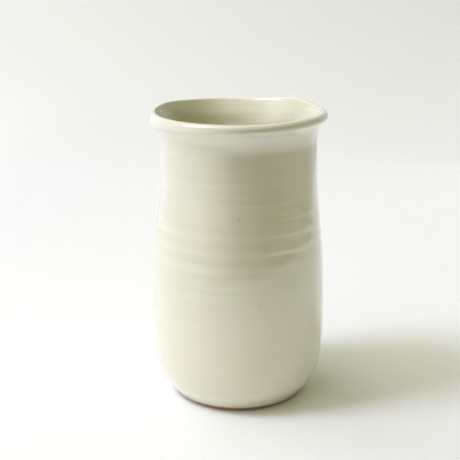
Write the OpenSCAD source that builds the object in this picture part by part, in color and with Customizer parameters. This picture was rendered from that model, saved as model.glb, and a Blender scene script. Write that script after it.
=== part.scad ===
// Wheel-thrown porcelain vase with a flared, rolled lip and a pale celadon glaze.
// The pot is one thrown piece of clay. Its glaze is three coats of glass, each fused to
// the clay face to face. Every solid is a true revolve about +Z. The foot stands on z = 0.

/* [Outline] */
// Height of the lip's crest above the table
height = 173.5; // [150:0.5:200]
// Widest diameter, low on the belly
belly_d = 104; // [98:1:116]
// Height of the widest place
belly_z = 46; // [38:1:60]
// Narrowest diameter, under the flare
neck_d = 89.4; // [82:0.2:94]
// Depth of the neck's narrowest place below the crest
neck_drop = 24.5; // [20:0.5:30]
// Diameter over the rolled lip
lip_d = 101.6; // [96:0.2:110]

/* [Clay] */
// Wall thickness at the neck
neck_wall = 4.3; // [3.5:0.1:5.5]
// Wall thickness at the belly
belly_wall = 4.8; // [4:0.1:6]
// Height of the glazed floor inside
floor_z = 8; // [7:0.5:11]
// Radius of the lip's roll
lip_roll = 2.5; // [1.8:0.1:2.8]
// Height of the upright band round the roll's outside
lip_band = 1.2; // [0.2:0.2:3]

/* [Foot] */
// Diameter of the bevel's lower edge
foot_d = 78.4; // [72:0.2:84]
// Height of the trimmed bevel above the table
bevel_h = 8.8; // [6:0.2:11]
// Outward run of the bevel
bevel_run = 6.4; // [4:0.2:7]
// Width of the ring that the pot stands on
rest_w = 4.6; // [3:0.1:7]
// Depth of the recess inside the ring
recess_h = 2.6; // [1.5:0.1:3.5]
// How far the ring stands in from the bevel's lower edge
undercut = 2.6; // [1:0.1:4]

/* [Glaze] */
// Thickness of each glaze coat
glaze_t = 0.5; // [0.3:0.1:0.8]
// Height of the bare clay left at the foot
bare_h = 2; // [1.6:0.1:3]

/* [Throwing rings] */
// Depth of the rings that the fingers left
ring_depth = 0.1; // [0:0.02:0.3]
// Spacing of the rings up the wall
ring_pitch = 7.7; // [6:0.1:12]
// Height of the middle of the ringed band
ring_mid = 98; // [80:1:110]
// Half height of the ringed band
ring_reach = 20; // [10:1:30]

/* [Hidden] */
$fn = 128;

belly_r = belly_d / 2;
neck_r = neck_d / 2;
neck_z = height - neck_drop;

// The foot's underside
foot_r = foot_d / 2;
foot_edge_z = 1.4;                  // height of the bevel's lower edge
rest_r = foot_r - undercut;         // outer radius of the ring that touches the table
ceiling_r = rest_r - rest_w - 1.6;  // radius of the recess's flat ceiling

// The rolled lip: a bead with an upright band, and the angles at which its flanks meet it
roll_r = lip_d / 2 - lip_roll;
roll_z = height - lip_roll;
flank_a = -52;
throat_a = 150;

// How far the outline holds its direction on leaving each station, as curve handles
heel_out = [3.8, 4];      // from the bevel, outward and up
belly_down = 25;
belly_up = 58;
neck_down = 42;
neck_up = 9;
flank_in = 3.5;           // from the lip's roll, down the outer flank
throat_in = 3;            // from the lip's roll, down the inner flank
inner_shift = 2;          // offset in height of the inner stations from the outer ones
inner_neck_up = 11;
inner_belly_down = 28;
floor_r = 34;             // radius at which the inside turns flat
floor_out = 12;

wall_steps = 80;          // about ten to each throwing ring
inner_steps = 20;
turn_steps = 12;
roll_steps = 7;

clay_colour = [0.90, 0.87, 0.80];
glaze_colour = [0.85, 0.86, 0.76];

// A point on a cubic Bezier curve with the four control points p.
function bezier(p, t) =
    p[0] * pow(1 - t, 3) + 3 * p[1] * t * pow(1 - t, 2)
    + 3 * p[2] * t * t * (1 - t) + p[3] * pow(t, 3);

// The curve's points in order, without its first, so that curves can be chained.
function curve(p, steps) = [for (i = [1:steps]) bezier(p, i / steps)];

// A point on the lip's roll, at angle a from straight outward, and the way it heads.
// The outside's lower half is the same arc, lower down by the drop of the band.
function roll_point(a, drop = 0) =
    [roll_r + lip_roll * cos(a), roll_z - drop + lip_roll * sin(a)];
function roll_heading(a) = [-sin(a), cos(a)];

// The throwing rings: waves on the wall that fade out at both ends of their band.
function ring_fade(z) = max(0, 1 - pow((z - ring_mid) / ring_reach, 2));
function ringed(p) =
    [p[0] + ring_depth * ring_fade(p[1]) * cos(360 * (p[1] - ring_mid) / ring_pitch), p[1]];

// The pot's fired surface as [radius, height], first up the outside from the edge of
// the glaze to the crest, then down the inside to the middle of the floor.
bevel_top = [foot_r + bevel_run, bevel_h];
bevel_slope = bevel_run / (bevel_h - foot_edge_z);
glaze_edge = [foot_r + (bare_h - foot_edge_z) * bevel_slope, bare_h];
belly = [belly_r, belly_z];
neck = [neck_r, neck_z];
flank = roll_point(flank_a, lip_band);
throat = roll_point(throat_a);
inner_neck = [neck_r - neck_wall, neck_z - inner_shift];
inner_belly = [belly_r - belly_wall, belly_z + inner_shift];
floor_edge = [floor_r, floor_z];

outer_wall = curve([belly, belly + [0, belly_up], neck - [0, neck_down], neck], wall_steps);
outer_skin = concat(
    [glaze_edge, bevel_top],
    curve([bevel_top, bevel_top + heel_out, belly - [0, belly_down], belly], turn_steps),
    [for (p = outer_wall) ringed(p)],
    curve([neck, neck + [0, neck_up], flank - flank_in * roll_heading(flank_a), flank],
          turn_steps),
    [for (i = [1:roll_steps]) roll_point(flank_a * (1 - i / roll_steps), lip_band)],
    [for (i = [0:roll_steps]) roll_point(90 * i / roll_steps)]);

inner_skin = concat(
    [for (i = [1:roll_steps]) roll_point(90 + (throat_a - 90) * i / roll_steps)],
    curve([throat, throat + throat_in * roll_heading(throat_a),
           inner_neck + [0, inner_neck_up], inner_neck], turn_steps),
    curve([inner_neck, inner_neck - [0, neck_down], inner_belly + [0, belly_up - inner_shift],
           inner_belly], inner_steps),
    curve([inner_belly, inner_belly - [0, inner_belly_down], floor_edge + [floor_out, 0],
           floor_edge], turn_steps),
    [[0, floor_z]]);

skin = concat(outer_skin, inner_skin);
crest = len(outer_skin) - 1;        // the crest's place in the list
last = len(skin) - 1;

// The clay under the glaze: the skin, set in by one coat square to its own direction.
function unit(v) = v / norm(v);
function heading(i) =
    i == 0 ? unit(skin[1] - skin[0])
    : i == last ? [-1, 0]
    : unit(unit(skin[i + 1] - skin[i]) + unit(skin[i] - skin[i - 1]));
clay = [for (i = [0:last]) skin[i] + glaze_t * [-heading(i)[1], heading(i)[0]]];

// One coat of glaze: the band between skin and clay, from place a to place b.
module coat(a, b) {
    color(glaze_colour)
        rotate_extrude()
            polygon(concat([for (i = [a:b]) skin[i]], [for (i = [b:-1:a]) clay[i]]));
}

// The thrown clay with its trimmed foot and the shallow recess that was cut inside it.
module clay_body() {
    underside = [[0, recess_h], [ceiling_r, recess_h], [rest_r - rest_w, 0], [rest_r, 0],
                 [foot_r, foot_edge_z]];
    color(clay_colour)
        rotate_extrude()
            polygon(concat(underside, clay));
}

// The coat that the outside was dipped in. It stops short of the foot.
module outer_glaze() {
    coat(0, crest);
}

// The coat that was poured round the inside. It meets the outer one on the crest.
module inner_glaze() {
    coat(crest, last);
}

// The coat brushed on the ceiling of the recess. The ring itself stays bare.
module foot_glaze() {
    brush_margin = 1;
    color(glaze_colour)
        translate([0, 0, recess_h - glaze_t])
            cylinder(h = glaze_t, r = ceiling_r - brush_margin);
}

clay_body();
outer_glaze();
inner_glaze();
foot_glaze();
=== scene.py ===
"""A wheel-thrown porcelain vase with a flared, rolled lip and a pale celadon glaze, on a table.

The pot is built the way it was made. One outline is turned on the wheel and bent a little by
hand, which gives the fired surface. The two glaze coats, the bare clay under them and the small
coat in the foot's recess are separate closed pieces cut from that one surface.
"""
import math

import bpy
import numpy as np
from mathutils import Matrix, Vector


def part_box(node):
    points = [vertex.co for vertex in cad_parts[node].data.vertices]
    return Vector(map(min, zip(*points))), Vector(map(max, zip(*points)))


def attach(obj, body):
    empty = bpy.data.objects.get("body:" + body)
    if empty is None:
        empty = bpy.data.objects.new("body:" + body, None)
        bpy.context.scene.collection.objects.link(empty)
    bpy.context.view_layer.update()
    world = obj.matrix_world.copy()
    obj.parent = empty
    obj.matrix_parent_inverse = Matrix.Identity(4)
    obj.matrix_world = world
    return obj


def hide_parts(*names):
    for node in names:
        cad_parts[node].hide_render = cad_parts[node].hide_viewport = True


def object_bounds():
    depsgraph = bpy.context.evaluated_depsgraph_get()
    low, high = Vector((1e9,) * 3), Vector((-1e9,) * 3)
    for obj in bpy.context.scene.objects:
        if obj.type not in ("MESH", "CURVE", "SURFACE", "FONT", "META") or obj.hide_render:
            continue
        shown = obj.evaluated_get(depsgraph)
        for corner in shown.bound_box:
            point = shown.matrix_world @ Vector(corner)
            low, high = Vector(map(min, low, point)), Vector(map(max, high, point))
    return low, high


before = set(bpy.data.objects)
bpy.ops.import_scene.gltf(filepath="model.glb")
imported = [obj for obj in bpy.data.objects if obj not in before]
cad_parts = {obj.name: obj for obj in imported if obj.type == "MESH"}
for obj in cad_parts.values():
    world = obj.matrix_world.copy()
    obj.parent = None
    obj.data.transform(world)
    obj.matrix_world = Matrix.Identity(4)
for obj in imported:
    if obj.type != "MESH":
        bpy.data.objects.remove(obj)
cad_low, cad_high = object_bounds()

MM = 0.001

# ---- Measures from the frame -------------------------------------------------------------------

recess_low, recess_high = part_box("foot_glaze")
CREST_Z = cad_high[2]                               # highest place on the lip
BELLY_R = cad_high[0]
RECESS_R = recess_high[0]                           # radius of the coat in the foot's recess
RECESS_Z = recess_high[2]                           # ceiling of the recess
COAT = recess_high[2] - recess_low[2]               # thickness of a glaze coat
FLOOR_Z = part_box("inner_glaze")[0][2] + COAT        # the glazed floor inside
BARE_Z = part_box("outer_glaze")[0][2]                # the outer coat ends here, above the foot

# ---- Measures as thrown ------------------------------------------------------------------------

RIM_SLACK = 1.9 * MM       # how far the plain rim lies below its highest lump
WALL_SLACK = 0.4 * MM      # room for the hand's unevenness on the belly

# The rolled lip: a bead with an upright band, and the angles at which its flanks meet it
LIP_R = 51.2 * MM
LIP_ROLL = 2.5 * MM
LIP_BAND = 0.6 * MM
FLANK = math.radians(-52)
THROAT = math.radians(150)
ROLL_CENTRE = (LIP_R - LIP_ROLL, CREST_Z - RIM_SLACK - LIP_ROLL)

# The wall, narrowest at the neck and widest at the belly
NECK_R = 45.2 * MM
NECK_Z = 152 * MM
NECK_WALL = 4.3 * MM
BELLY_Z = 46 * MM
BELLY_WALL = 4.8 * MM

# The trimmed foot
FOOT_R = 39.2 * MM         # radius of the bevel's lower edge
FOOT_EDGE_Z = 0.9 * MM
BEVEL_H = 8.8 * MM
BEVEL_RUN = 6.4 * MM
BEVEL_SLOPE = BEVEL_RUN / (BEVEL_H - FOOT_EDGE_Z)
BEVEL_END = 1 * MM         # the plain bevel ends this far below its upper corner,
BEVEL_SOFT = 0.9 * MM      # which is rounded over this reach
REST_R = 36.6 * MM         # outer radius of the ring that the pot stands on
REST_W = 4.6 * MM
CEILING_R = 30.4 * MM      # radius of the recess's flat ceiling

# How far the outline holds its direction on leaving each station, as curve handles
HEEL_START = (0.9 * MM, 1.3 * MM)
HEEL_OUT = (3.5 * MM, 5.6 * MM)
BELLY_DOWN = 25 * MM
BELLY_UP = 58 * MM
NECK_DOWN = 42 * MM
NECK_UP = 9 * MM
FLANK_IN = 3.5 * MM
THROAT_IN = 3 * MM
INNER_SHIFT = 2 * MM       # offset in height of the inner stations from the outer ones
INNER_NECK_UP = 11 * MM
INNER_BELLY_DOWN = 28 * MM
FLOOR_R = 34 * MM          # radius at which the inside turns flat
FLOOR_OUT = 12 * MM

# The glaze's lower edge
GLAZE_ROLL = 1.1 * MM      # the outer coat thins to its edge over this height
GLAZE_THINS = 0.8          # and loses this share of its thickness there
SINK = 0.03 * MM           # the clay reaches this far into the coats' backs

SEGMENTS = 240             # round the pot
ON_AXIS = 1e-7             # nearer than this to the axis is on it


def bezier(points, steps):
    """Points along a cubic curve, without its first point."""
    t = np.linspace(0, 1, steps + 1)[1:, None]
    a, b, c, d = (np.array(p, float) for p in points)
    return a * (1 - t) ** 3 + 3 * b * t * (1 - t) ** 2 + 3 * c * t ** 2 * (1 - t) + d * t ** 3


def arc(centre, radius, start, end, steps):
    """Points along an arc, with both its ends."""
    a = np.linspace(start, end, steps + 1)
    return np.stack([centre[0] + radius * np.cos(a), centre[1] + radius * np.sin(a)], 1)


def heading(angle):
    """Which way an arc runs at that angle."""
    return np.array([-math.sin(angle), math.cos(angle)])


def softened(*corners, steps=5):
    """A line through corners (point, reach), each rounded over its reach to both sides."""
    points = np.array([point for point, _ in corners], float)
    line = [points[0]]
    for i in range(1, len(corners) - 1):
        corner, reach = points[i], corners[i][1]
        back, ahead = points[i - 1] - corner, points[i + 1] - corner
        start = corner + back / np.linalg.norm(back) * reach
        end = corner + ahead / np.linalg.norm(ahead) * reach
        for t in np.linspace(0, 1, steps + 1):
            line.append(start * (1 - t) ** 2 + 2 * corner * t * (1 - t) + end * t * t)
    line.append(points[-1])
    return np.array(line)


def bevel_at(height, inward=0.0):
    """The place on the foot's bevel at that height, or that far inside it."""
    return np.array([FOOT_R + (height - FOOT_EDGE_Z) * BEVEL_SLOPE - inward, height])


def outer_outline():
    """[radius, height] up the outside, from the glaze's lower edge to the crest of the lip."""
    bevel_end = bevel_at(BEVEL_H - BEVEL_END)
    bevel_top = bevel_at(BEVEL_H)
    heel_start = bevel_top + HEEL_START
    belly = np.array([BELLY_R - WALL_SLACK, BELLY_Z])
    neck = np.array([NECK_R, NECK_Z])
    roll_low = arc((ROLL_CENTRE[0], ROLL_CENTRE[1] - LIP_BAND), LIP_ROLL, FLANK, 0, steps=10)
    roll_high = arc(ROLL_CENTRE, LIP_ROLL, 0, math.pi / 2, steps=14)
    flank = roll_low[0]
    bevel = np.linspace(bevel_at(BARE_Z), bevel_end, 15)
    corner = softened((bevel_end, 0), (bevel_top, BEVEL_SOFT), (heel_start, 0))[1:]
    heel = bezier([heel_start, bevel_top + HEEL_OUT, belly - [0, BELLY_DOWN], belly], steps=34)
    wall = bezier([belly, belly + [0, BELLY_UP], neck - [0, NECK_DOWN], neck], steps=130)
    flare = bezier([neck, neck + [0, NECK_UP], flank - FLANK_IN * heading(FLANK), flank], steps=24)
    line = np.vstack([bevel, corner, heel, wall, flare, roll_low[1:], roll_high])
    thin = np.clip(1 - (line[:, 1] - BARE_Z) / GLAZE_ROLL, 0, 1)
    line[:, 0] -= GLAZE_THINS * COAT * (1 - np.sqrt(1 - thin ** 2))
    return line


def inner_outline():
    """[radius, height] down the inside, from the crest to the middle of the floor."""
    roll = arc(ROLL_CENTRE, LIP_ROLL, math.pi / 2, THROAT, steps=10)
    throat = roll[-1]
    neck = np.array([NECK_R - NECK_WALL, NECK_Z - INNER_SHIFT])
    belly = np.array([BELLY_R - BELLY_WALL, BELLY_Z + INNER_SHIFT])
    turn = np.array([FLOOR_R, FLOOR_Z])
    flare = bezier([throat, throat + THROAT_IN * heading(THROAT),
                    neck + [0, INNER_NECK_UP], neck], steps=24)
    wall = bezier([neck, neck - [0, NECK_DOWN], belly + [0, BELLY_UP - INNER_SHIFT], belly],
                  steps=60)
    heel = bezier([belly, belly - [0, INNER_BELLY_DOWN], turn + [FLOOR_OUT, 0], turn], steps=30)
    floor = np.linspace(turn, (0, FLOOR_Z), 16)[1:]
    return np.vstack([roll, flare, wall, heel, floor])


def foot_outline():
    """[radius, height] of the bare clay, from the middle of the recess to behind the glaze."""
    ceiling = RECESS_Z - SINK
    return softened(((0, ceiling), 0),
                    ((CEILING_R, ceiling), 1 * MM),
                    ((REST_R - REST_W, 0), 0.6 * MM),
                    ((REST_R, 0), 0.5 * MM),
                    ((FOOT_R, FOOT_EDGE_Z), 0.2 * MM),
                    (bevel_at(BARE_Z, 0.2 * MM), 0.15 * MM),
                    (bevel_at(BARE_Z + 0.6 * MM, 0.35 * MM), 0))


# ---- The hand's unevenness ---------------------------------------------------------------------

# Lumps on the rim: where round the pot in degrees, how high, and how wide in degrees
RIM_LUMPS = (
    (46, 1.9 * MM, 11),
    (322, 0.8 * MM, 20),
    (355, 0.35 * MM, 12),
    (148, 0.7 * MM, 12),
    (106, -0.6 * MM, 26),
    (205, -0.2 * MM, 24),
)
RIM_REACH = 34 * MM        # how far down the wall the rim's lumps are felt

# On one side the roll's lower edge hangs lower, and the lip is thinner on its inside
SAG_SIDE = 178             # degrees round the pot, as every side below
SAG = 1.2 * MM
SAG_WIDTH = 42
SAG_HEIGHTS = (158 * MM, 164 * MM)      # where it starts, and where it is full
THIN_LIP = 1.7 * MM
THIN_WIDTH = 40
THIN_HEIGHTS = (140 * MM, 168 * MM)

# Near there, the roll runs into the flare without a crease
FILL = 1.6 * MM
FILL_SIDE = 215
FILL_WIDTH = 50
FILL_Z = 164 * MM
FILL_REACH = 2.8 * MM

# The neck stands a little to the right, and the wall is slightly oval
NECK_LEAN = 0.5 * MM
LEAN_Z = 140 * MM
LEAN_REACH = 20 * MM
OVAL = 0.1 * MM
OVAL_TURN = 0.6            # its longer axis is turned by half of this, in radians

# The throwing rings: waves on the wall that fade out at both ends of their band
RING_DEPTH = 0.068 * MM
RING_PITCH = 9.4 * MM
RING_MID = 101.2 * MM      # one ridge lies near this height
RING_DEEPEST = 105 * MM    # they are deepest at this height, and fade over this reach
RING_REACH = 17 * MM
RING_CLIMB = -0.6 * MM     # how much higher a ring lies on the right than at the front
RING_SKEW = 0.5            # each ring rises slowly on the way down, and drops off at its edge
RING_UNEVEN = 0.2          # the share of their depth that comes and goes round the pot
RING_TURN = 0.7            # they are deepest this many radians from the right, towards the front
RING_PALE = -2.6 * MM      # the glaze is palest this far from a ring's ridge

RECESS_WANDER = 0.25 * MM  # how uneven the brushed coat's edge is

# A finger's dent inside the lip, beside its highest lump
DENT = 0.45 * MM
DENT_SIDE = 62
DENT_WIDTH = 9
DENT_Z = 165.5 * MM
DENT_REACH = 3.5 * MM


def lump(theta, place, width):
    """1 at a place round the pot, falling smoothly to 0 on both sides."""
    away = (np.degrees(theta) - place + 180) % 360 - 180
    return np.exp(-0.5 * (away / width) ** 2)


def bump(height, middle, reach):
    """1 at a middle height, falling smoothly to 0 above and below."""
    return np.exp(-0.5 * ((height - middle) / reach) ** 2)


def between(value, low, high):
    """0 at low and before it, 1 at high and beyond it, with soft ends."""
    share = np.clip((value - low) / (high - low), 0, 1)
    return share * share * (3 - 2 * share)


def turned(line):
    """The outline turned on the wheel: angle, radius and height of points[ring, segment]."""
    theta = np.repeat(np.arange(SEGMENTS)[None] * 2 * math.pi / SEGMENTS, len(line), 0)
    return theta, np.repeat(line[:, :1], SEGMENTS, 1), np.repeat(line[:, 1:], SEGMENTS, 1)


def placed(theta, radius, height):
    """Points[ring, segment, xyz]."""
    return np.stack([radius * np.cos(theta), radius * np.sin(theta), height], 2)


def throwing_rings(theta, height):
    """How far the rings stand out or in, from 1 on a ridge to -1 in a hollow."""
    climb = height - RING_CLIMB * np.cos(theta)
    fade = np.clip(1 - ((climb - RING_DEEPEST) / RING_REACH) ** 2, 0, 1)
    uneven = 1 - RING_UNEVEN + RING_UNEVEN * np.cos(theta + RING_TURN)
    wave = 2 * math.pi * (climb - RING_MID) / RING_PITCH
    return fade * uneven * np.cos(wave + RING_SKEW * np.cos(wave))


def thrown(line, crest_row):
    """The outline turned, with its throwing rings, and bent by hand."""
    theta, radius, height = turned(line)
    outside = (np.arange(len(line)) <= crest_row)[:, None]

    # The foot and the middle of the floor stay round
    wall = between(height, 12 * MM, 42 * MM) * between(radius, 0, 30 * MM)
    radius = radius + RING_DEPTH * throwing_rings(theta, height)
    radius = radius + OVAL * wall * np.cos(2 * theta - OVAL_TURN)
    radius = radius + NECK_LEAN * bump(height, LEAN_Z, LEAN_REACH) * np.cos(theta)

    fill = lump(theta, FILL_SIDE, FILL_WIDTH) * bump(height, FILL_Z, FILL_REACH)
    radius = radius + FILL * fill * outside
    inward = between(radius, ROLL_CENTRE[0], ROLL_CENTRE[0] - LIP_ROLL)
    thinned = lump(theta, SAG_SIDE, THIN_WIDTH) * between(height, *THIN_HEIGHTS) * inward
    radius = radius + THIN_LIP * thinned * ~outside
    dent = lump(theta, DENT_SIDE, DENT_WIDTH) * bump(height, DENT_Z, DENT_REACH)
    radius = radius + DENT * dent * ~outside

    lift = sum(high * lump(theta, place, width) for place, high, width in RIM_LUMPS)
    rim = between(height, CREST_Z - RIM_REACH, CREST_Z)
    below_crest = between(height, CREST_Z - 1 * MM, CREST_Z - 5 * MM)
    hanging = between(height, *SAG_HEIGHTS) * below_crest
    sag = SAG * lump(theta, SAG_SIDE, SAG_WIDTH) * hanging * outside
    return placed(theta, radius, height + lift * rim - sag)


def directions_of(points):
    """Which way the turned surface faces, at each of its points."""
    round_step = np.roll(points, -1, 1) - np.roll(points, 1, 1)
    steps = np.diff(points, axis=0)
    lengths = np.linalg.norm(steps, axis=2, keepdims=True)
    steps = steps / np.maximum(lengths, 1e-9)
    along = np.empty_like(points)
    along[1:-1] = steps[1:] * lengths[:-1] + steps[:-1] * lengths[1:]
    along[0], along[-1] = steps[0], steps[-1]
    facing = np.cross(round_step, along)
    length = np.linalg.norm(facing, axis=2, keepdims=True)
    facing = facing / np.maximum(length, 1e-15)
    for end, beside in ((0, 1), (-1, -2)):          # a ring on the axis faces as the next one does
        if length[end].max() < 1e-12:
            facing[end] = facing[beside]
    return facing


# ---- Pieces ------------------------------------------------------------------------------------

def mesh_piece(name, verts, faces, directions=None):
    """A smooth piece from its points and faces, and the directions that its points face."""
    mesh = bpy.data.meshes.new(name)
    mesh.from_pydata([tuple(v) for v in verts], [], faces)
    mesh.update()
    mesh.shade_smooth()
    if directions is not None:
        mesh.normals_split_custom_set_from_vertices([tuple(d) for d in directions])
    piece = bpy.data.objects.new(name, mesh)
    bpy.context.scene.collection.objects.link(piece)
    return piece


def solid(name, rings, facing):
    """A closed piece from rings of points that run once round its section."""
    verts, directions, rows = [], [], []
    for ring, turn in zip(rings, facing):
        on_axis = np.linalg.norm(ring[:, :2], axis=1).max() < ON_AXIS
        start = len(verts)
        rows.append([start] * SEGMENTS if on_axis else list(range(start, start + SEGMENTS)))
        verts.extend(ring[:1] if on_axis else ring)
        directions.extend([(0, 0, math.copysign(1, turn[0, 2]))] if on_axis else turn)
    faces = []
    for low, high in zip(rows, rows[1:] + rows[:1]):
        for j in range(SEGMENTS):
            k = (j + 1) % SEGMENTS
            corners = list(dict.fromkeys([low[j], low[k], high[k], high[j]]))
            if len(corners) > 2:
                faces.append(corners)
    return mesh_piece(name, verts, faces, directions)


outer = outer_outline()
inner = inner_outline()
crest = len(outer) - 1                  # the skin's row on the crest of the lip,
last = crest + len(inner) - 1           # and its row on the middle of the floor
skin = thrown(np.vstack([outer, inner[1:]]), crest)
skin_facing = directions_of(skin)


def set_in(first, final, depth, step):
    """Every step-th row of the surface that lies depth under the fired skin, and its facing."""
    kept = sorted(set(range(first, final, step)) | {final})
    points = skin[kept] - depth * skin_facing[kept]
    on_axis = np.linalg.norm(skin[kept][:, :, :2], axis=2) < ON_AXIS
    points[on_axis, :2] = 0
    return points, skin_facing[kept]


def glaze_coat(name, first, final):
    """A coat of glaze between two rows of the skin, closed by its back on the clay."""
    back, back_facing = set_in(first, final, COAT, step=4)
    rings = np.concatenate([skin[first:final + 1], back[::-1]])
    facing = np.concatenate([skin_facing[first:final + 1], -back_facing[::-1]])
    return solid(name, rings, facing)


def clay(name):
    """The fired clay, bare at the foot and hidden under the coats everywhere else."""
    hidden_from = 4                     # the first row that is well behind the glaze's edge
    hidden, _ = set_in(hidden_from, last, COAT - SINK, step=2)
    rings = np.concatenate([placed(*turned(foot_outline())), hidden])
    return solid(name, rings, directions_of(rings))


def recess_coat(name):
    """The thin coat brushed inside the foot's recess, thicker at its wandering edge."""
    low = RECESS_Z - COAT
    line = softened(((0, low + 0.16 * MM), 0),
                    ((RECESS_R - 6 * MM, low + 0.12 * MM), 4 * MM),
                    ((RECESS_R - 1.2 * MM, low), 0.6 * MM),
                    ((RECESS_R, low + 0.2 * MM), 0.15 * MM),
                    ((RECESS_R, RECESS_Z), 0.1 * MM),
                    ((0, RECESS_Z), 0))
    theta, radius, height = turned(line)
    wander = np.sin(3 * theta + 0.7) + 0.6 * np.sin(7 * theta) - 1.6
    radius = radius + RECESS_WANDER * wander * between(radius, 0, RECESS_R)
    rings = placed(theta, radius, height)
    return solid(name, rings, directions_of(rings))


outside_coat = glaze_coat("glazed_outside", 0, crest)
inside_coat = glaze_coat("glazed_inside", crest, last)
foot_clay = clay("bare_clay_foot")
foot_coat = recess_coat("glazed_recess")

for piece, node, slot in (
    (outside_coat, "outer_glaze", "celadon_glaze"),
    (inside_coat, "inner_glaze", "celadon_liner"),
    (foot_clay, "clay_body", "bare_clay"),
    (foot_coat, "foot_glaze", "celadon_glaze"),
):
    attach(piece, "root")
    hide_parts(node)


# ---- Finishes: node helpers --------------------------------------------------------------------

def put_into(tree, socket, value):
    """Sets one input to a value, or links it to another node's output."""
    if isinstance(value, bpy.types.NodeSocket):
        tree.links.new(value, socket)
    else:
        socket.default_value = value


def put(tree, kind, inputs=None, **settings):
    """Adds a node. Each input is a value, or another node's output."""
    made = tree.nodes.new("ShaderNode" + kind)
    for name, value in settings.items():
        setattr(made, name, value)
    for name, value in (inputs or {}).items():
        put_into(tree, made.inputs[name], value)
    return made


def calc(tree, operation, a, b=0.0, c=0.0):
    """One step of arithmetic."""
    inputs = {0: a, 1: b, 2: c} if operation == "MULTIPLY_ADD" else {0: a, 1: b}
    return put(tree, "Math", inputs, operation=operation).outputs[0]


def eased(tree, value, low, high, to_low=0.0, to_high=1.0):
    """value brought from low..high to to_low..to_high, with soft ends."""
    return put(tree, "MapRange", {"Value": value, "From Min": low, "From Max": high,
                                  "To Min": to_low, "To Max": to_high},
               interpolation_type="SMOOTHSTEP").outputs["Result"]


def zone(tree, value, places):
    """0 beyond the outer two of four places, and 1 between the inner two, with soft ends."""
    start, full, still_full, end = places
    return calc(tree, "MULTIPLY", eased(tree, value, start, full),
                eased(tree, value, still_full, end, 1.0, 0.0))


def blended(tree, amount, a, b):
    """Colour a where amount is 0, and b where it is 1."""
    made = put(tree, "Mix", data_type="RGBA", blend_type="MIX")
    for name, value in (("Factor_Float", amount), ("A_Color", a), ("B_Color", b)):
        put_into(tree, next(s for s in made.inputs if s.identifier == name), value)
    return next(s for s in made.outputs if s.identifier == "Result_Color")


def group(name, inputs, outputs):
    """An empty node group with named inputs (name, kind, value) and outputs (name, kind)."""
    tree = bpy.data.node_groups.new(name, "ShaderNodeTree")
    for label, kind, value in inputs:
        made = tree.interface.new_socket(label, in_out="INPUT", socket_type="NodeSocket" + kind)
        made.default_value = value
    for label, kind in outputs:
        tree.interface.new_socket(label, in_out="OUTPUT", socket_type="NodeSocket" + kind)
    given = tree.nodes.new("NodeGroupInput").outputs
    result = tree.nodes.new("NodeGroupOutput").inputs
    return tree, given, result


def use(tree, shared, inputs):
    """Places a node group in a material and returns its outputs."""
    made = tree.nodes.new("ShaderNodeGroup")
    made.node_tree = shared
    for name, value in inputs.items():
        put_into(tree, made.inputs[name], value)
    return made.outputs


def place_on_pot(tree):
    """The place on the pot, in metres from the middle of its foot."""
    return put(tree, "TexCoord").outputs["Object"]


def measured(tree):
    """The same place as its three measures, X, Y and Z."""
    return put(tree, "SeparateXYZ", {0: place_on_pot(tree)}).outputs


def shifted(tree, place, seed):
    """A place moved along, so that each use of a noise looks different."""
    shift = put(tree, "CombineXYZ", {"X": seed}).outputs[0]
    return put(tree, "VectorMath", {0: place, 1: shift}, operation="ADD").outputs[0]


# ---- Finishes: shared effects ------------------------------------------------------------------

def throwing_lines():
    """Fine level lines left by fingers and sponge: noise stretched round the pot."""
    tree, given, result = group("Throwing lines", [
        ("Spacing", "Float", 1.6 * MM), ("Length", "Float", 40 * MM), ("Seed", "Float", 0.0),
    ], [("Height", "Float")])
    up = calc(tree, "DIVIDE", 1.0, given["Spacing"])
    across = calc(tree, "DIVIDE", 1.0, given["Length"])
    scale = put(tree, "CombineXYZ", {"X": across, "Y": across, "Z": up}).outputs[0]
    stretched = put(tree, "VectorMath", {0: place_on_pot(tree), 1: scale},
                    operation="MULTIPLY").outputs[0]
    noise = put(tree, "TexNoise", {"Vector": shifted(tree, stretched, given["Seed"]),
                                   "Scale": 1.0, "Detail": 2.0, "Roughness": 0.45}).outputs[0]
    tree.links.new(noise, result["Height"])
    return tree


def glaze_clouds():
    """Slow variation of a glaze's thickness."""
    tree, given, result = group("Glaze clouds", [
        ("Size", "Float", 30 * MM), ("Seed", "Float", 0.0),
    ], [("Thickness", "Float")])
    scale = calc(tree, "DIVIDE", 1.0, given["Size"])
    noise = put(tree, "TexNoise", {"Vector": shifted(tree, place_on_pot(tree), given["Seed"]),
                                   "Scale": scale, "Detail": 3.0, "Roughness": 0.5}).outputs[0]
    tree.links.new(eased(tree, noise, 0.3, 0.7), result["Thickness"])
    return tree


def speck():
    """A pinhole or an iron speck at one place on the pot."""
    tree, given, result = group("Speck", [
        ("Place", "Vector", (0, 0, 0)), ("Size", "Float", 1 * MM),
    ], [("Mask", "Float")])
    away = put(tree, "VectorMath", {0: place_on_pot(tree), 1: given["Place"]},
               operation="DISTANCE")
    share = calc(tree, "DIVIDE", away.outputs["Value"], given["Size"])
    tree.links.new(eased(tree, share, 0.25, 0.6, 1.0, 0.0), result["Mask"])
    return tree


def orange_peel():
    """The faint pebbling of a fired glaze, or the grain of bare clay."""
    tree, given, result = group("Orange peel", [("Size", "Float", 1.5 * MM)],
                                [("Height", "Float")])
    scale = calc(tree, "DIVIDE", 1.0, given["Size"])
    noise = put(tree, "TexNoise", {"Vector": place_on_pot(tree), "Scale": scale,
                                   "Detail": 1.0}).outputs[0]
    tree.links.new(noise, result["Height"])
    return tree


LINES = throwing_lines()
CLOUDS = glaze_clouds()
SPECK = speck()
PEEL = orange_peel()

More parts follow.
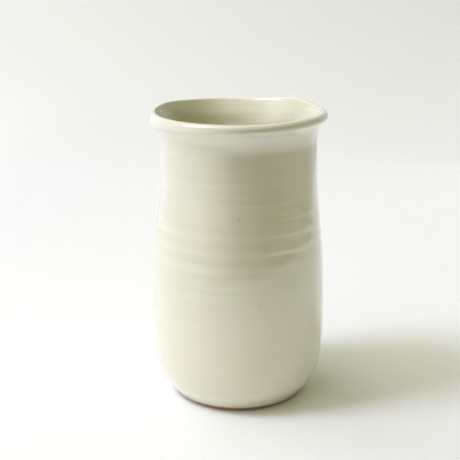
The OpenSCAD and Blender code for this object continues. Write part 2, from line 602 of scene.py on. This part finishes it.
# Where the specks are: degrees round the pot, height, size and depth of colour
SPECKS_OUTSIDE = (
    (270.5, 119 * MM, 2.2 * MM, 0.18),
    (284, 69.5 * MM, 1.5 * MM, 0.15),
    (333, 82 * MM, 1.2 * MM, 0.2),
    (205, 60 * MM, 0.8 * MM, 0.4),
    (318, 38 * MM, 0.7 * MM, 0.35),
    (20, 96 * MM, 1.0 * MM, 0.6),
    (75, 132 * MM, 0.8 * MM, 0.5),
    (118, 55 * MM, 0.9 * MM, 0.5),
    (160, 108 * MM, 0.7 * MM, 0.4),
)
SPECKS_INSIDE = (
    (40, 120 * MM, 0.9 * MM, 0.5),
    (200, 96 * MM, 0.8 * MM, 0.5),
    (300, 70 * MM, 0.9 * MM, 0.4),
)


def surface_place(degrees, height, inside):
    """The point of the fired skin at an angle and a height."""
    column = round(degrees / 360 * SEGMENTS) % SEGMENTS
    rows = skin[crest:, column] if inside else skin[:crest, column]
    return tuple(rows[np.abs(rows[:, 2] - height).argmin()])


def specks(tree, places, inside):
    """One mask for all the specks of a coat."""
    total = None
    for degrees, height, size, depth in places:
        mask = use(tree, SPECK, {"Place": surface_place(degrees, height, inside),
                                 "Size": size})["Mask"]
        mask = calc(tree, "MULTIPLY", mask, depth)
        total = mask if total is None else calc(tree, "MAXIMUM", total, mask)
    return total


# ---- Finishes: materials -----------------------------------------------------------------------

THIN_AND_BOUNCE_WHITE = (0.83, 0.83, 0.68, 1)           # over edges and rises, the white body shows through; under the lip the same white is painted bounce light
GLAZE = (0.76, 0.73, 0.58, 1)
POOLED_AND_DARKENED = (0.65, 0.64, 0.45, 1)         # in hollows and clouds the green gathers; on the upper wall it also makes a painted dark reflection
LINER = (0.95, 0.92, 0.75, 1)          # the poured coat inside is whiter where it is thin
# The deep liner colour serves for pooled glaze, and on the left inside for painted shade
LINER_POOLED_AND_SHADED = (0.49, 0.48, 0.24, 1)
IRON = (0.16, 0.12, 0.08, 1)
FIRED_CLAY = (0.50, 0.36, 0.22, 1)     # the bare foot, flashed brown in the kiln
FLASHED_CLAY = (0.40, 0.26, 0.14, 1)

CREST_THIN = 3.2 * MM                  # the glaze starts to thin this far below the crest,
CREST_THINNEST = 1.0 * MM              # and is thinnest from here up
WHITENESS = 0.7                        # how far towards the thin glaze's white the palest places go

# Heights at which a change in the glaze starts, is full, is still full, and ends
BEVEL_THIN = (2 * MM, 4 * MM, 9 * MM, 11 * MM)
# The zone under the lip is painted bounce light from the table, with paler glaze in place of that
# light
FLARE_PAINTED_BOUNCE = (156 * MM, 163 * MM, 168.5 * MM, 171.5 * MM)
# The upper wall's zone is a painted dark reflection of the dim room in front, darkening the glaze
# there
WALL_PAINTED_REFLECTION = (54 * MM, 90 * MM, 146 * MM, 158 * MM)
RING_COLOUR = (78 * MM, 92 * MM, 109 * MM, 120 * MM)

SATIN_TO_GLOSS = (0.27, 0.22)          # roughness under the gloss, where thin and where thick


def finish(name):
    """A new material with its shader node."""
    material = bpy.data.materials.new(name)
    material.use_nodes = True
    tree = material.node_tree
    return material, tree, tree.nodes["Principled BSDF"]


def glossy(shader):
    """The clear, hard gloss of a fired glaze."""
    shader.inputs["IOR"].default_value = 1.7
    shader.inputs["Coat Weight"].default_value = 1.0
    shader.inputs["Coat Roughness"].default_value = 0.07
    shader.inputs["Coat IOR"].default_value = 1.75


def glaze_bump(tree, shader, line_depth, spacing, peel_depth):
    """Fine throwing lines and pebbling under the gloss."""
    lines = use(tree, LINES, {"Spacing": spacing, "Length": 45 * MM})["Height"]
    peel = use(tree, PEEL, {"Size": 2.2 * MM})["Height"]
    lined = put(tree, "Bump", {"Height": lines, "Strength": 1.0, "Distance": line_depth})
    pebbled = put(tree, "Bump", {"Height": peel, "Strength": 1.0, "Distance": peel_depth,
                                 "Normal": lined.outputs[0]})
    tree.links.new(pebbled.outputs[0], shader.inputs["Normal"])


def outside_celadon():
    """The dipped coat: thin and white on edges, greener in clouds, lines and rings' hollows, darker
    on the upper wall as a painted dark reflection, and paler under the lip as painted bounce light.
    """
    material, tree, shader = finish("celadon_outside")
    glossy(shader)
    height = measured(tree)["Z"]
    cloud = use(tree, CLOUDS, {"Size": 38 * MM})["Thickness"]
    streak = use(tree, LINES, {"Spacing": 4 * MM, "Length": 60 * MM, "Seed": 5.0})["Height"]

    # Green gathers in clouds and lines; the upper wall is darkened further as a painted dark
    # reflection of the dim room in front
    clouded = calc(tree, "MULTIPLY", cloud, eased(tree, streak, 0.35, 0.7))
    on_wall = calc(tree, "MULTIPLY_ADD", clouded, 0.4, 0.16)
    pooled_and_painted_dark = calc(tree, "MULTIPLY_ADD", on_wall, zone(tree, height, WALL_PAINTED_REFLECTION),
                  calc(tree, "MULTIPLY", clouded, 0.12))

    # It is paler on one flank of each throwing ring, and greener on the other
    turns = 2 * math.pi / RING_PITCH
    wave = calc(tree, "COSINE", calc(tree, "MULTIPLY_ADD", height, turns,
                                     -turns * (RING_MID + RING_PALE)))
    rings = calc(tree, "MULTIPLY", wave, zone(tree, height, RING_COLOUR))
    pooled_and_painted_dark = calc(tree, "MULTIPLY_ADD", rings, -0.16, pooled_and_painted_dark)

    thin = eased(tree, height, CREST_Z - CREST_THIN, CREST_Z - CREST_THINNEST)
    # On the bevel the glaze thins; under the lip it is made pale as painted bounce light from the
    # table
    for where, share in ((BEVEL_THIN, 0.9), (FLARE_PAINTED_BOUNCE, 0.55)):
        thin = calc(tree, "MAXIMUM", thin, calc(tree, "MULTIPLY", zone(tree, height, where), share))

    colour = blended(tree, pooled_and_painted_dark, GLAZE, POOLED_AND_DARKENED)
    colour = blended(tree, calc(tree, "MULTIPLY", thin, WHITENESS), colour, THIN_AND_BOUNCE_WHITE)
    colour = blended(tree, specks(tree, SPECKS_OUTSIDE, inside=False), colour, IRON)
    tree.links.new(colour, shader.inputs["Base Color"])
    tree.links.new(eased(tree, cloud, 0.0, 1.0, *SATIN_TO_GLOSS), shader.inputs["Roughness"])
    glaze_bump(tree, shader, line_depth=0.05 * MM, spacing=2.2 * MM, peel_depth=0.01 * MM)
    return material


def inside_celadon():
    """The poured coat: painted shade darkens its left side, it is a little darker towards the
    right, and it ran thick on the floor.
    """
    material, tree, shader = finish("celadon_inside")
    glossy(shader)
    place = measured(tree)
    cloud = use(tree, CLOUDS, {"Size": 30 * MM, "Seed": 0.3})["Thickness"]
    streak = use(tree, LINES, {"Spacing": 3 * MM, "Length": 50 * MM, "Seed": 2.0})["Height"]

    pooled_and_painted_dark = calc(tree, "MULTIPLY_ADD", eased(tree, streak, 0.35, 0.65), 0.14,
                  calc(tree, "MULTIPLY", cloud, 0.08))
    # Painted shade: the left inside, which the rim shades from the light, takes the deep liner
    # colour
    painted_shade_left = eased(tree, place["X"], -32 * MM, 1 * MM, 1.0, 0.0)
    darker_right = calc(tree, "MULTIPLY", eased(tree, place["X"], 18 * MM, 38 * MM), 0.3)
    on_floor = eased(tree, place["Z"], FLOOR_Z, FLOOR_Z + 14 * MM, 1.0, 0.0)
    pooled_and_painted_dark = calc(tree, "MAXIMUM", calc(tree, "ADD", pooled_and_painted_dark, darker_right), painted_shade_left)
    pooled_and_painted_dark = calc(tree, "MAXIMUM", pooled_and_painted_dark, on_floor)
    thin = eased(tree, place["Z"], CREST_Z - CREST_THIN, CREST_Z - CREST_THINNEST)

    colour = blended(tree, pooled_and_painted_dark, LINER, LINER_POOLED_AND_SHADED)
    colour = blended(tree, calc(tree, "MULTIPLY", thin, WHITENESS), colour, THIN_AND_BOUNCE_WHITE)
    colour = blended(tree, specks(tree, SPECKS_INSIDE, inside=True), colour, IRON)
    tree.links.new(colour, shader.inputs["Base Color"])
    tree.links.new(eased(tree, cloud, 0.0, 1.0, *SATIN_TO_GLOSS), shader.inputs["Roughness"])
    glaze_bump(tree, shader, line_depth=0.07 * MM, spacing=3 * MM, peel_depth=0.01 * MM)
    return material


def bare_porcelain():
    """The unglazed foot: matt and grainy, and browner in patches."""
    material, tree, shader = finish("bare_porcelain")
    cloud = use(tree, CLOUDS, {"Size": 9 * MM, "Seed": 0.7})["Thickness"]
    grain = use(tree, PEEL, {"Size": 0.5 * MM})["Height"]
    tree.links.new(blended(tree, cloud, FIRED_CLAY, FLASHED_CLAY), shader.inputs["Base Color"])
    tree.links.new(eased(tree, grain, 0.3, 0.7, 0.66, 0.82), shader.inputs["Roughness"])
    bump = put(tree, "Bump", {"Height": grain, "Strength": 1.0, "Distance": 0.06 * MM})
    tree.links.new(bump.outputs[0], shader.inputs["Normal"])
    return material


def recess_celadon():
    """The brushed coat in the recess, duller and rougher than the others."""
    material, tree, shader = finish("celadon_recess")
    glossy(shader)
    cloud = use(tree, CLOUDS, {"Size": 12 * MM, "Seed": 0.9})["Thickness"]
    tree.links.new(blended(tree, cloud, GLAZE, POOLED_AND_DARKENED), shader.inputs["Base Color"])
    tree.links.new(eased(tree, cloud, 0.0, 1.0, 0.4, 0.3), shader.inputs["Roughness"])
    glaze_bump(tree, shader, line_depth=0.08 * MM, spacing=3 * MM, peel_depth=0.02 * MM)
    return material


outside_coat.data.materials.append(outside_celadon())
inside_coat.data.materials.append(inside_celadon())
foot_clay.data.materials.append(bare_porcelain())
foot_coat.data.materials.append(recess_celadon())


# ---- The studio --------------------------------------------------------------------------------

TABLE_NEAR = -3.0          # the table's near edge, its half width, and where it starts to rise
TABLE_HALF = 3.0
RISE_START = 0.7
RISE_R = 1.6               # how gently it curves up, and how far round that curve it goes
RISE_TURN = 0.9
TABLE_COLOURS = ((0.885, 0.885, 0.88, 1), (0.905, 0.905, 0.90, 1))

ROOM_R = 0.6               # the walls stand this far out from a place behind the pot
ROOM_BACK = 0.1
ROOM_H = 0.45
ROOM_OPEN = 30             # degrees left open on each side of straight behind

# How bright the walls are: turns to the right of the front, and the light they give
WALL_LIGHT = (
    (-0.40, 0.94, 0.93, 1.00),
    (-0.26, 0.87, 0.85, 0.98),
    (-0.15, 0.92, 0.94, 0.92),
    (-0.08, 0.66, 0.62, 0.48),
    (-0.01, 0.04, 0.04, 0.02),
    (0.09, 0.06, 0.06, 0.02),
    (0.22, 0.50, 0.49, 0.33),
    (0.31, 0.36, 0.36, 0.30),
    (0.36, 0.62, 0.62, 0.57),
)
WALL_COLOUR = (0.03, 0.03, 0.03, 1)

LAMPS_ROUND = Vector((0, 0, 0.09))     # the middle of the pot, which every lamp looks at
LAMP_DISTANCE = 5.0

FROM_BEHIND = (0.12, 0.18, 0.42, 1)    # the world's light on the object
FROM_ABOVE = (0.44, 0.41, 0.05, 1)
IN_GLOSS = (0.80, 0.80, 0.74, 1)       # what its gloss sees past the walls
BACKDROP = (0.90, 0.90, 0.88, 1)       # what the eye sees there
NO_LIGHT = (0, 0, 0, 1)

CAMERA_PLACE = (-0.005, -0.572, 0.2701)
CAMERA_DOWN = 16.63        # degrees below level
CAMERA_LENS = 78.26        # on a sensor 36 wide
CAMERA_SENSOR = 36.0


def strip(name, verts, per_row):
    """A one-sided sheet from rows of points."""
    corners = [i + j for i in range(0, len(verts) - per_row, per_row) for j in range(per_row - 1)]
    faces = [(c, c + 1, c + per_row + 1, c + per_row) for c in corners]
    sheet = mesh_piece(name, verts, faces)
    return sheet


def pale_table():
    """A pale table whose far side curves up into the backdrop."""
    rise = arc((RISE_START, RISE_R), RISE_R, -math.pi / 2, -math.pi / 2 + RISE_TURN, steps=24)
    line = [(TABLE_NEAR, 0.0), (0.0, 0.0)] + [tuple(p) for p in rise]
    table = strip("table", [(x, y, z) for x in (TABLE_HALF, -TABLE_HALF) for y, z in line],
                  len(line))
    material, tree, shader = finish("pale_table")
    grain = put(tree, "TexNoise", {"Vector": place_on_pot(tree), "Scale": 60.0, "Detail": 3.0})
    tree.links.new(blended(tree, grain.outputs[0], *TABLE_COLOURS), shader.inputs["Base Color"])
    shader.inputs["Roughness"].default_value = 0.7
    shader.inputs["Specular IOR Level"].default_value = 0.2
    table.data.materials.append(material)


def room_walls():
    """What the gloss sees beyond the table: the room's walls, dim in front, open behind."""
    reach = 180 - ROOM_OPEN
    angles = np.radians(np.linspace(-reach, reach, 61) - 90)
    room = strip("room", [(ROOM_R * math.cos(a), ROOM_R * math.sin(a) + ROOM_BACK, z)
                          for a in angles for z in (0.0, ROOM_H)], 2)
    for seen in ("visible_camera", "visible_transmission",
                 "visible_shadow", "visible_volume_scatter"):
        setattr(room, seen, False)
    material, tree, shader = finish("room_walls")
    place = measured(tree)
    round_room = calc(tree, "ARCTAN2", place["X"], calc(tree, "MULTIPLY", place["Y"], -1.0))
    share = calc(tree, "MULTIPLY_ADD", round_room, 0.5 / math.pi, 0.5)
    ramp = put(tree, "ValToRGB", {"Fac": share})
    stops = ramp.color_ramp.elements
    while len(stops) < len(WALL_LIGHT):
        stops.new(0.5)
    for stop, (turns, red, green, blue) in zip(stops, WALL_LIGHT):
        stop.position = turns + 0.5
        stop.color = (red, green, blue, 1)
    shader.inputs["Base Color"].default_value = WALL_COLOUR
    shader.inputs["Roughness"].default_value = 1.0
    shader.inputs["Emission Strength"].default_value = 1.0
    tree.links.new(ramp.outputs["Color"], shader.inputs["Emission Color"])
    room.data.materials.append(material)


def lamp(name, azimuth, elevation, width, height, radiance, colour):
    """A soft rectangular light that looks at the pot. Azimuth 0 is the front, 90 the left."""
    a, e = math.radians(azimuth), math.radians(elevation)
    away = Vector((-math.sin(a) * math.cos(e), -math.cos(a) * math.cos(e), math.sin(e)))
    data = bpy.data.lights.new(name, "AREA")
    data.shape = "RECTANGLE"
    data.size, data.size_y = width, height
    data.energy = radiance * math.pi * width * height
    data.color = colour
    light = bpy.data.objects.new(name, data)
    light.location = LAMPS_ROUND + LAMP_DISTANCE * away
    light.rotation_euler = (-away).to_track_quat("-Z", "Y").to_euler()
    bpy.context.scene.collection.objects.link(light)
    return light


def surround():
    """The room's own light, from behind and above. The eye sees a pale backdrop."""
    world = bpy.data.worlds.new("room")
    bpy.context.scene.world = world
    world.use_nodes = True
    tree = world.node_tree
    tree.nodes.clear()
    toward = put(tree, "SeparateXYZ", {0: put(tree, "TexCoord").outputs["Generated"]}).outputs
    behind = eased(tree, toward["Y"], -0.3, 0.8)
    above = eased(tree, toward["Z"], 0.3, 1.0)
    lit = put(tree, "VectorMath", {0: blended(tree, behind, NO_LIGHT, FROM_BEHIND),
                                   1: blended(tree, above, NO_LIGHT, FROM_ABOVE)},
              operation="ADD").outputs[0]
    on_object, in_gloss, backdrop = (put(tree, "Background", {"Color": colour}).outputs[0]
                                     for colour in (lit, IN_GLOSS, BACKDROP))
    seen = put(tree, "LightPath").outputs
    clear = calc(tree, "MAXIMUM", seen["Is Glossy Ray"], seen["Is Transmission Ray"])
    unseen = put(tree, "MixShader", {0: clear, 1: on_object, 2: in_gloss}).outputs[0]
    light = put(tree, "MixShader", {0: seen["Is Camera Ray"], 1: unseen, 2: backdrop}).outputs[0]
    put(tree, "OutputWorld", {"Surface": light})


def add_camera():
    """The camera, in front of the pot and a little above its lip."""
    data = bpy.data.cameras.new("camera")
    data.lens = CAMERA_LENS
    data.sensor_width = CAMERA_SENSOR
    data.clip_start = 0.02
    data.clip_end = 11.0
    camera = bpy.data.objects.new("camera", data)
    camera.location = CAMERA_PLACE
    camera.rotation_euler = (math.radians(90 - CAMERA_DOWN), 0, 0)
    bpy.context.scene.collection.objects.link(camera)
    bpy.context.scene.camera = camera


pale_table()
room_walls()
surround()
lamp("window", azimuth=78, elevation=50, width=1.4, height=2.0, radiance=12.5,
     colour=(0.92, 0.96, 1.19))
curtain = lamp("window_behind", azimuth=115, elevation=48, width=6.5, height=2.6, radiance=1.8,
               colour=(1.0, 1.0, 0.98))
curtain.visible_glossy = False         # it lights the pot but leaves no streak on it
lamp("skylight", azimuth=55, elevation=66, width=3.0, height=3.0, radiance=1.3,
     colour=(0.97, 0.92, 1.15))
add_camera()
bpy.context.scene.view_settings.view_transform = "Standard"
